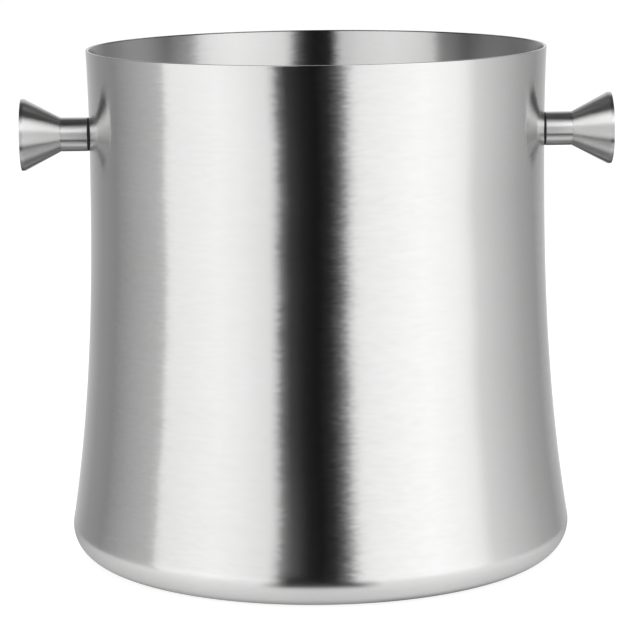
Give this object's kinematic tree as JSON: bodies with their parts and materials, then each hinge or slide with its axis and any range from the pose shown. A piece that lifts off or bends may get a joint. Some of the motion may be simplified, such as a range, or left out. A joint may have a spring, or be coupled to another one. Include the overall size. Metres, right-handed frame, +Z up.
{
  "type": "champagne bucket",
  "caption": "Open brushed-steel bucket for chilling a bottle: waisted wall flaring to a round-cornered flat base, thin rim, and a fixed turned cone knob on each side.",
  "frame": {"origin": "centre of the base, on the surface that the bucket stands on", "axes": "+Z up along the bucket's axis, +X along the knobs' common axis through the right knob, +Y to the back"},
  "size_m": [0.2576, 0.2202, 0.2231],
  "materials": {
    "brushed_sheet": "satin stainless steel, brushed round the bucket's axis",
    "turned_steel": "lathe-turned stainless steel with fine turning lines round the knob's axis",
    "fastener_steel": "plain bright stainless fastener steel",
    "black_rubber": "matt black sealing rubber"
  },
  "bodies": {
    "root": {"bucket_shell": "brushed_sheet", "right_knob_head": "turned_steel", "right_stem_sleeve": "turned_steel", "right_wall_gasket": "black_rubber", "right_inner_seal": "black_rubber", "right_backing_washer": "fastener_steel", "right_knob_screw": "fastener_steel", "left_knob_head": "turned_steel", "left_stem_sleeve": "turned_steel", "left_wall_gasket": "black_rubber", "left_inner_seal": "black_rubber", "left_backing_washer": "fastener_steel", "left_knob_screw": "fastener_steel"}
  },
  "joints": []
}
